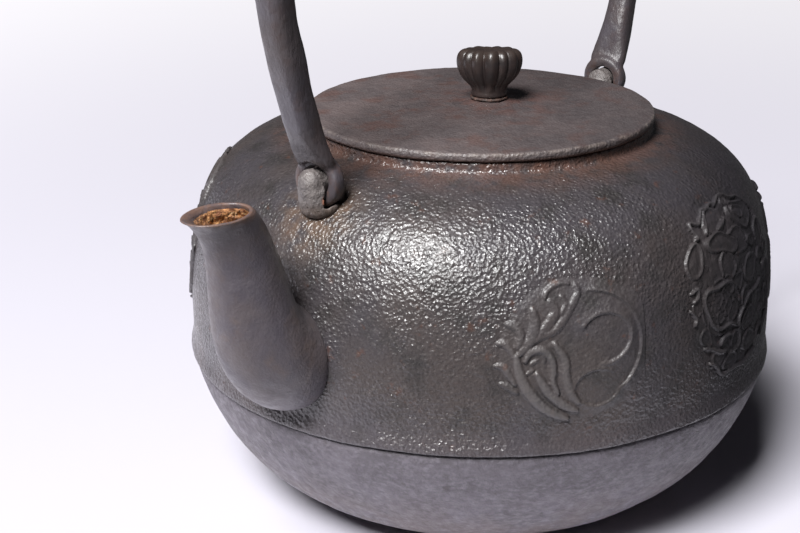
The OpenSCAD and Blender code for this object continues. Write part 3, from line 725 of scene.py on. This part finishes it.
def make_seat():
    """The lumpy washer between the lid's boss and the knob."""
    line = [(2, SEAT_H), (5.4, SEAT_H), (5.7, SEAT_H + 0.25), (5.7, SEAT_H + 0.6),
            (5.3, KNOB_BASE), (2, KNOB_BASE)]
    seat = turned("seat_washer", line + line[:1], 48)
    subdivide(seat, 1)
    rough_casting(seat, "rust_lumps", 1.6, 0.5)
    take(seat)
    bpy.ops.transform.translate(value=(KNOB_X * MM, KNOB_Y * MM, 0))
    return done("seat_washer")


# ---- finishes ----
IOR = 1.6                         # of the thin skin that old iron and bronze carry
SHADED_SIDE_WAY = (616, -787, 0)        # level direction towards the side away from the key lamp, where shade is painted, times 1000


class Finish:
    """One material, built up from patterns measured in millimetres on the piece."""

    def __init__(self, name):
        self.material = bpy.data.materials.new(name)
        self.material.use_nodes = True
        self.nodes = self.material.node_tree.nodes
        self.links = self.material.node_tree.links
        self.shader = self.nodes["Principled BSDF"]
        self.place = self.node("ShaderNodeTexCoord").outputs["Object"]

    def node(self, kind, **values):
        n = self.nodes.new(kind)
        for k, v in values.items():
            setattr(n, k, v)
        return n

    def put(self, socket, value):
        if isinstance(value, bpy.types.NodeSocket):
            self.links.new(value, socket)
        elif isinstance(value, tuple) and len(value) == 3 and socket.type == "RGBA":
            socket.default_value = (*value, 1)
        else:
            socket.default_value = value

    def mottle(self, size, detail=3.0, rough=0.55, seed=0.0, stretch=(1, 1, 1)):
        """Cloudy noise with patches of about this size."""
        n = self.node("ShaderNodeTexNoise")
        at = self.node("ShaderNodeMapping")
        at.inputs["Location"].default_value = (seed, seed * 0.7, seed * 1.3)
        at.inputs["Scale"].default_value = stretch
        self.put(at.inputs["Vector"], self.place)
        self.put(n.inputs["Vector"], at.outputs["Vector"])
        n.inputs["Scale"].default_value = 1000 / size
        n.inputs["Detail"].default_value = detail
        n.inputs["Roughness"].default_value = rough
        return n.outputs["Fac"]

    def pebbles(self, size):
        """Sharp little grains of about this size."""
        n = self.node("ShaderNodeTexVoronoi", feature="F1")
        self.put(n.inputs["Vector"], self.place)
        n.inputs["Scale"].default_value = 1000 / size
        return n.outputs["Distance"]

    def between(self, value, low, high, to_low=0.0, to_high=1.0):
        n = self.node("ShaderNodeMapRange", interpolation_type="SMOOTHSTEP")
        self.put(n.inputs["Value"], value)
        n.inputs["From Min"].default_value, n.inputs["From Max"].default_value = low, high
        n.inputs["To Min"].default_value, n.inputs["To Max"].default_value = to_low, to_high
        return n.outputs["Result"]

    def worked(self, how, a, b):
        n = self.node("ShaderNodeMath", operation=how)
        self.put(n.inputs[0], a)
        self.put(n.inputs[1], b)
        return n.outputs[0]

    def sum(self, a, b):
        return self.worked("ADD", a, b)

    def times(self, a, b):
        return self.worked("MULTIPLY", a, b)

    def mix(self, amount, a, b):
        n = self.node("ShaderNodeMix", data_type="RGBA")
        self.put(n.inputs["Factor"], amount)
        self.put(n.inputs[6], a)
        self.put(n.inputs[7], b)
        return n.outputs[2]

    def height(self):
        n = self.node("ShaderNodeSeparateXYZ")
        self.put(n.inputs[0], self.place)
        return self.times(n.outputs["Z"], 1000.0)

    def towards_shaded_side(self):
        """Distance in mm from the axis towards the kettle's side away from the key lamp, along which shade is
        painted.
        """
        n = self.node("ShaderNodeVectorMath", operation="DOT_PRODUCT")
        self.put(n.inputs[0], self.place)
        n.inputs[1].default_value = SHADED_SIDE_WAY
        return n.outputs["Value"]

    def away(self, x, y, z=None):
        """Distance in mm from a point, or from an upright line where z is None."""
        n = self.node("ShaderNodeVectorMath", operation="SUBTRACT")
        self.put(n.inputs[0], self.place)
        n.inputs[1].default_value = (x * MM, y * MM, (z or 0) * MM)
        flat = self.node("ShaderNodeVectorMath", operation="MULTIPLY")
        self.put(flat.inputs[0], n.outputs[0])
        flat.inputs[1].default_value = (1000, 1000, 1000 if z is not None else 0)
        far = self.node("ShaderNodeVectorMath", operation="LENGTH")
        self.put(far.inputs[0], flat.outputs[0])
        return far.outputs["Value"]

    def bump(self, height, depth, below=None):
        """A relief of this depth in mm, on top of another one."""
        n = self.node("ShaderNodeBump")
        self.put(n.inputs["Height"], height)
        n.inputs["Distance"].default_value = depth * MM
        n.inputs["Strength"].default_value = 1.0
        if below is not None:
            self.put(n.inputs["Normal"], below)
        return n.outputs["Normal"]

    def finish(self, colour, roughness, normal):
        s = self.shader.inputs
        self.put(s["Base Color"], colour)
        self.put(s["Roughness"], roughness)
        self.put(s["Normal"], normal)
        s["IOR"].default_value = IOR
        return self.material


def shell_iron():
    f = Finish("hammered_shell_iron")
    base = f.mix(f.between(f.mottle(28, 3), 0.35, 0.65), (0.048, 0.039, 0.038), (0.044, 0.039, 0.044))
    base = f.mix(f.between(f.mottle(9, 4, seed=0.3), 0.45, 0.75), base, (0.028, 0.025, 0.025))
    base = f.mix(f.between(f.mottle(1.0, 2), 0.55, 0.78, 0, 0.5), base, (0.105, 0.093, 0.092))
    rust = f.times(f.between(f.mottle(5, 5, 0.65, seed=0.9), 0.6, 0.72), 0.5)
    base = f.mix(rust, base, (0.085, 0.036, 0.022))
    collar = f.times(f.between(f.height(), 108.5, 113.0), f.between(f.mottle(6, 4, seed=0.5), 0.3, 0.6))
    base = f.mix(f.times(collar, 0.8), base, (0.11, 0.055, 0.04))
    base = f.mix(f.between(f.height(), 56.0, 45.0, 0, 0.5), base, (0.07, 0.06, 0.068))
    for x in (-LUG_X, LUG_X):
        near = f.times(f.between(f.away(x * 1.03, 0, 104.0), 17.0, 5.0), f.between(f.mottle(4, 4), 0.3, 0.6))
        base = f.mix(f.times(near, 0.5), base, (0.14, 0.085, 0.05))
    # lighter colour on the relief's raised tops: partly rubbed wear, partly a painted highlight
    raised = f.node("ShaderNodeAttribute", attribute_name="raised").outputs["Fac"]
    base = f.mix(f.times(f.between(raised, 0.3, 1.0), 0.5), base, (0.11, 0.1, 0.1))
    calm = f.node("ShaderNodeAttribute", attribute_name="calm").outputs["Fac"]
    rough = f.sum(f.between(f.mottle(0.8, 3, seed=1.2), 0.35, 0.65, 0.25, 0.42), f.times(calm, 0.2))
    # painted shade: darker colour and weaker gloss towards the side away from the key lamp
    shaded_side = f.between(f.towards_shaded_side(), 25, 80)
    base = f.mix(f.times(shaded_side, 0.75), base, (0.013, 0.012, 0.015))
    f.put(f.shader.inputs["Specular IOR Level"], f.between(shaded_side, 0, 1, 0.5, 0.25))
    lively = f.times(f.between(calm, 0, 1, 1, 0.3), f.between(f.mottle(22, 2, seed=0.7), 0.35, 0.6, 0.55, 1))
    skin = f.bump(f.times(f.pebbles(1.05), lively), 0.32)
    skin = f.bump(f.times(f.mottle(1.1, 2, 0.6), lively), 0.42, skin)
    skin = f.bump(f.mottle(2.4, 3, 0.6, seed=0.2), 0.35, skin)
    return f.finish(base, rough, skin)


def bowl_iron():
    f = Finish("fire_greyed_bowl_iron")
    clouds = f.between(f.mottle(12, 4, stretch=(1, 1, 1.6)), 0.35, 0.65)
    base = f.mix(clouds, (0.098, 0.086, 0.101), (0.07, 0.061, 0.071))
    bloom = f.between(f.mottle(2.0, 4, seed=0.4, stretch=(1, 1, 1.5)), 0.42, 0.72, 0, 0.75)
    base = f.mix(bloom, base, (0.15, 0.135, 0.16))
    base = f.mix(f.between(f.mottle(5, 5, 0.65, seed=0.8), 0.58, 0.7, 0, 0.6), base, (0.04, 0.032, 0.033))
    low = f.times(f.between(f.height(), 34.0, 10.0), f.between(f.mottle(16, 3, seed=0.2), 0.35, 0.6))
    base = f.mix(f.times(low, 0.5), base, (0.09, 0.06, 0.045))
    # painted shade: darker towards the side away from the key lamp
    base = f.mix(f.between(f.towards_shaded_side(), 30, 85, 0, 0.5), base, (0.03, 0.027, 0.031))
    rough = f.between(f.mottle(3, 3, seed=1.4), 0.3, 0.7, 0.45, 0.68)
    skin = f.bump(f.mottle(1.0, 4, 0.65), 0.5)
    skin = f.bump(f.mottle(4, 2, seed=0.6), 0.45, skin)
    return f.finish(base, rough, skin)


def spout_iron():
    f = Finish("smooth_spout_iron")
    base = f.mix(f.between(f.mottle(14, 3), 0.35, 0.65), (0.072, 0.062, 0.075), (0.087, 0.071, 0.075))
    base = f.mix(f.between(f.mottle(7, 4, seed=0.7), 0.52, 0.75, 0, 0.5), base, (0.115, 0.08, 0.066))
    base = f.mix(f.between(f.mottle(0.9, 3), 0.5, 0.8, 0, 0.45), base, (0.105, 0.095, 0.105))
    # painted highlight: the lower part of the spout's root is paler and lighter
    foot = f.between(f.height(), 66.0, 52.0, 0, 0.7)
    base = f.mix(foot, base, (0.13, 0.118, 0.135))
    lip = f.between(f.height(), 110.6, 112.6)
    base = f.mix(f.times(lip, f.between(f.mottle(2.5, 3), 0.25, 0.6, 0, 0.8)), base, (0.15, 0.085, 0.06))
    rough = f.between(f.mottle(3, 3, seed=1.1), 0.3, 0.7, 0.38, 0.56)
    skin = f.bump(f.mottle(0.8, 3, 0.6), 0.2)
    skin = f.bump(f.mottle(5, 2, seed=0.6), 0.3, skin)
    return f.finish(base, rough, skin)


def rust_crust():
    f = Finish("rust_crust")
    base = f.mix(f.between(f.mottle(2.4, 5, 0.7), 0.38, 0.62), (0.34, 0.14, 0.065), (0.98, 0.5, 0.2))
    base = f.mix(f.between(f.mottle(1.6, 4, seed=0.5), 0.56, 0.7), base, (0.98, 0.66, 0.34))
    base = f.mix(f.between(f.mottle(1.1, 4, seed=0.9), 0.58, 0.66, 0, 0.9), base, (0.03, 0.015, 0.01))
    left = f.times(f.between(f.away(-119.5, 3.0), 12.0, 5.0),
                   f.between(f.mottle(2, 3, seed=0.3), 0.3, 0.6, 0.6, 1))
    base = f.mix(f.times(left, 0.7), base, (0.15, 0.07, 0.045))
    skin = f.bump(f.mottle(1.3, 5, 0.7), 0.9)
    return f.finish(base, f.between(f.mottle(2, 2), 0.3, 0.7, 0.6, 0.95), skin)


def lug_iron():
    f = Finish("worn_lug_iron")
    base = f.mix(f.between(f.mottle(2.4, 4), 0.35, 0.65), (0.1, 0.086, 0.084), (0.15, 0.13, 0.125))
    base = f.mix(f.between(f.mottle(0.7, 3, seed=0.3), 0.55, 0.7, 0, 0.6), base, (0.24, 0.22, 0.21))
    low = f.times(f.between(f.height(), 108.0, 104.0),
                  f.between(f.mottle(2.5, 3, seed=0.5), 0.25, 0.55, 0.5, 1))
    base = f.mix(f.times(low, 0.8), base, (0.1, 0.068, 0.05))
    dot = f.between(f.away(-LUG_X - 3.0, -5.4, HINGE_H - 4.2), 2.2, 0.8)
    base = f.mix(dot, base, (0.42, 0.12, 0.035))
    rough = f.between(f.mottle(1.5, 3, seed=1.1), 0.3, 0.7, 0.32, 0.58)
    return f.finish(base, rough, f.bump(f.mottle(0.7, 4, 0.65), 0.4))


def bail_iron():
    f = Finish("forged_bail_iron")
    base = f.mix(f.between(f.mottle(18, 3), 0.35, 0.65), (0.058, 0.047, 0.05), (0.066, 0.058, 0.07))
    base = f.mix(f.between(f.mottle(6, 4, seed=0.9), 0.5, 0.7, 0, 0.5), base, (0.058, 0.036, 0.033))
    base = f.mix(f.between(f.mottle(2.0, 4, seed=0.4), 0.5, 0.75, 0, 0.5), base, (0.07, 0.06, 0.067))
    eye = f.times(f.between(f.height(), 122.0, 108.0), f.between(f.mottle(3, 4, seed=0.8), 0.45, 0.65))
    base = f.mix(f.times(eye, 0.6), base, (0.1, 0.048, 0.03))
    rough = f.between(f.mottle(5, 3, seed=1.1), 0.3, 0.7, 0.33, 0.5)
    skin = f.bump(f.mottle(1.0, 4, 0.6, stretch=(1, 1, 0.45)), 0.25)
    return f.finish(base, rough, skin)


def lid_iron():
    f = Finish("lid_plate_iron")
    base = f.mix(f.between(f.mottle(17, 3), 0.35, 0.65), (0.1, 0.077, 0.076), (0.072, 0.058, 0.059))
    base = f.mix(f.between(f.mottle(1.2, 3), 0.5, 0.78, 0, 0.5), base, (0.115, 0.095, 0.093))
    patch = f.between(f.mottle(11, 5, 0.6, seed=0.45), 0.5, 0.66, 0, 0.55)
    base = f.mix(patch, base, (0.092, 0.045, 0.036))
    # painted shade: darker towards the side away from the key lamp
    base = f.mix(f.between(f.towards_shaded_side(), -35, 40, 0, 0.5), base, (0.032, 0.027, 0.029))
    red = f.times(f.between(f.away(KNOB_X, KNOB_Y), 26.0, 5.0),
                  f.between(f.mottle(6, 4, seed=0.6), 0.4, 0.65))
    base = f.mix(f.times(red, 0.6), base, (0.1, 0.042, 0.032))
    # lighter rim top: partly rubbed wear, partly a painted highlight standing in for the rim's glints
    rim = f.times(f.between(f.away(0, 0), 51.2, 52.1), f.between(f.height(), 116.0, 116.8))
    worn_and_glint = f.times(rim, f.between(f.mottle(3, 4, 0.6, seed=0.2), 0.4, 0.65, 0, 0.6))
    base = f.mix(worn_and_glint, base, (0.17, 0.14, 0.125))
    base = f.mix(f.between(f.height(), 115.8, 114.9, 0, 0.6), base, (0.09, 0.042, 0.03))
    rough = f.between(f.mottle(3, 3, seed=1.1), 0.3, 0.7, 0.4, 0.6)
    skin = f.bump(f.pebbles(0.9), 0.2)
    skin = f.bump(f.mottle(0.6, 3, 0.6, seed=0.3), 0.22, skin)
    skin = f.bump(f.mottle(7, 2, seed=0.8), 0.5, skin)
    return f.finish(base, rough, skin)


def knob_bronze():
    f = Finish("dark_knob_bronze")
    base = f.mix(f.between(f.mottle(4, 3), 0.35, 0.65), (0.03, 0.019, 0.017), (0.018, 0.013, 0.013))
    base = f.mix(f.between(f.height(), 131.5, 134.2, 0, 0.5), base, (0.05, 0.036, 0.03))
    rough = f.between(f.mottle(2.5, 3, seed=1.1), 0.3, 0.7, 0.32, 0.42)
    return f.finish(base, rough, f.bump(f.mottle(0.9, 3, 0.6), 0.07))


def fixing_iron():
    f = Finish("rusty_fixing_iron")
    base = f.mix(f.between(f.mottle(1.8, 4), 0.35, 0.65), (0.04, 0.025, 0.021), (0.085, 0.042, 0.03))
    base = f.mix(f.between(f.mottle(0.7, 3, seed=0.4), 0.62, 0.72, 0, 0.6), base, (0.2, 0.16, 0.135))
    rough = f.between(f.mottle(1, 3, seed=1), 0.3, 0.7, 0.45, 0.8)
    return f.finish(base, rough, f.bump(f.mottle(0.8, 4, 0.7), 0.4))


def dress(piece, material, slot, body, *nodes):
    """Gives a piece its finish, the body that it rides on and the nodes that it stands for."""
    if not piece.data.materials:
        piece.data.materials.append(material)
    piece.data.materials[0] = material
    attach(piece, body)
    if nodes:
        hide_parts(*nodes)


# ---- making and dressing every piece ----
shell_finish = shell_iron()
dress(make_shell(), shell_finish, "shell_iron", "kettle", "upper_shell")
dress(make_bowl(), bowl_iron(), "base_iron", "kettle", "base_bowl")

# motif, azimuth, height, turn on the wall and half width of the patch
ROUNDELS = [
    (moon_spray, -129, 73, 0, 22), (flower_head, -88.5, FLOWER_H, 0, 26),
    (moon_spray, -52, 76, 200, 22), (flower_head, -16, FLOWER_H, 40, 26),
    (moon_spray, 20, 76, 90, 22), (flower_head, 56, FLOWER_H, 100, 26),
    (moon_spray, 90, 74, 150, 22), (flower_head, 124, FLOWER_H, 10, 26)]
for i, (motif, azimuth, height, turned_by, reach) in enumerate(ROUNDELS):
    stands_for = ["flower_relief"] if motif is flower_head else []
    patch = make_roundel(f"roundel_{i + 1}", motif, azimuth, height, turned_by, reach)
    dress(patch, shell_finish, "shell_iron", "kettle", *stands_for)

spout = make_spout()
spout_finish = spout_iron()
spout.data.materials.append(spout_finish)
crust_mouth(spout, rust_crust())
dress(spout, spout_finish, "spout_iron", "kettle", "spout")

lug_finish = lug_iron()
lug = make_lug()
dress(copied(lug, "lug_casting_rear", flip_x=True), lug_finish, "lug_iron", "kettle", "lug_rear")
dress(lug, lug_finish, "lug_iron", "kettle", "lug_front")
dress(make_bail(), bail_iron(), "bail_iron", "bail", "bail")
dress(make_lid(), lid_iron(), "lid_iron", "lid", "lid")
dress(make_knob(), knob_bronze(), "knob_bronze", "lid", "knob")
fixing = fixing_iron()
dress(make_seat(), fixing, "fixing_iron", "lid", "knob_seat")
for node in ("knob_rivet", "rivet_washer"):
    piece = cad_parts[node]
    for slot in piece.material_slots:
        slot.material = fixing


# ---- camera, floor and lamps ----
CAMERA_AT = (-0.3703, -0.2603, 0.2327)
CAMERA_FORWARD, CAMERA_UP = (0.7374, 0.5799, -0.3464), (0.2765, 0.2087, 0.9381)
LENS, SENSOR = 69.29, 36
STUDIO_TINT = (0.82, 0.8, 0.9)
FLOOR_LIT, FLOOR_DIM = (0.79, 0.765, 0.85), (0.02, 0.02, 0.02)
BACKDROP_NEAR, BACKDROP_FAR = (0.515, 0.5, 0.56), (1.0, 0.98, 1.0)
MIRRORED_SHARE = 0.1              # how much of the backdrop glossy iron shows
# level direction, start and end in mm of each soft edge of the floor that throws light back
LIT_EDGES = [
    ((0.786, 0.618, 0), -150.0, -130.0), ((-0.618, 0.786, 0), -140.0, -100.0),
    ((-0.786, -0.618, 0), -620.0, -580.0)]
KEY_SIZE, KEY_POWER, KEY_FAR = 1.15, 222, 3.0
KEY_SIDE, KEY_RISE = math.radians(187), math.radians(51.5)
WORLD_LEVEL = 0.022
WORLD_SHARES = [("Is Camera Ray", 0.95), ("Is Glossy Ray", 0.02), ("Is Transmission Ray", 0.02)]


def aim(obj, at, look):
    obj.location = Vector(at)
    obj.rotation_mode = "QUATERNION"
    obj.rotation_quaternion = (Vector(look) - Vector(at)).to_track_quat("-Z", "Y")


cam_data = bpy.data.cameras.new("camera")
cam = bpy.data.objects.new("camera", cam_data)
bpy.context.scene.collection.objects.link(cam)
forward = Vector(CAMERA_FORWARD).normalized()
right = forward.cross(Vector(CAMERA_UP)).normalized()
up = right.cross(forward)
turned_to = Matrix((right, up, -forward)).transposed().to_4x4()
cam.matrix_world = Matrix.Translation(CAMERA_AT) @ turned_to
cam_data.lens = LENS
cam_data.sensor_width = SENSOR
cam_data.clip_start = 0.01
bpy.context.scene.camera = cam

clear_bench()
bpy.ops.mesh.primitive_plane_add(size=16, location=(0, 0, 0))
floor = done("floor")
pale = Finish("pale_floor")
seen = pale.node("ShaderNodeLightPath").outputs
mirrored = pale.times(pale.sum(seen["Is Glossy Ray"], seen["Is Transmission Ray"]), MIRRORED_SHARE)
in_view = pale.sum(seen["Is Camera Ray"], mirrored)
lit_side = 1.0
for way, start, end in LIT_EDGES:
    along = pale.node("ShaderNodeVectorMath", operation="DOT_PRODUCT")
    pale.put(along.inputs[0], pale.place)
    along.inputs[1].default_value = [1000 * c for c in way]
    lit_side = pale.times(pale.between(along.outputs["Value"], start, end), lit_side)
backdrop = pale.mix(pale.between(pale.away(0, 0), 250, 1320), BACKDROP_NEAR, BACKDROP_FAR)
shown = pale.mix(in_view, pale.mix(lit_side, FLOOR_DIM, FLOOR_LIT), backdrop)
far = pale.times(pale.between(pale.away(0, 0), 900, 2400), in_view)
pale.put(pale.shader.inputs["Base Color"], pale.mix(far, shown, (0, 0, 0)))
pale.put(pale.shader.inputs["Emission Strength"], far)
pale.shader.inputs["Emission Color"].default_value = (*STUDIO_TINT, 1)
pale.shader.inputs["Roughness"].default_value = 0.8
floor.data.materials.append(pale.material)

key = bpy.data.lights.new("key", "AREA")
key.shape = "RECTANGLE"
key.size = KEY_SIZE
key.size_y = KEY_SIZE
key.energy = KEY_POWER
key_o = bpy.data.objects.new("key", key)
bpy.context.scene.collection.objects.link(key_o)
out = KEY_FAR * math.cos(KEY_RISE)
high = KEY_FAR * math.sin(KEY_RISE) + 0.05
aim(key_o, (out * math.cos(KEY_SIDE), out * math.sin(KEY_SIDE), high), (0, 0, 0.06))

studio = bpy.data.worlds.new("studio")
bpy.context.scene.world = studio
studio.use_nodes = True
nodes, links = studio.node_tree.nodes, studio.node_tree.links
nodes["Background"].inputs["Color"].default_value = (*STUDIO_TINT, 1)
rays = nodes.new("ShaderNodeLightPath").outputs
level = None
for ray, share in WORLD_SHARES:
    more = nodes.new("ShaderNodeMath")
    more.operation = "MULTIPLY_ADD"
    more.inputs[1].default_value = share
    more.inputs[2].default_value = WORLD_LEVEL
    links.new(rays[ray], more.inputs[0])
    if level is not None:
        links.new(level, more.inputs[2])
    level = more.outputs[0]
links.new(level, nodes["Background"].inputs["Strength"])
bpy.context.scene.view_settings.view_transform = "Standard"
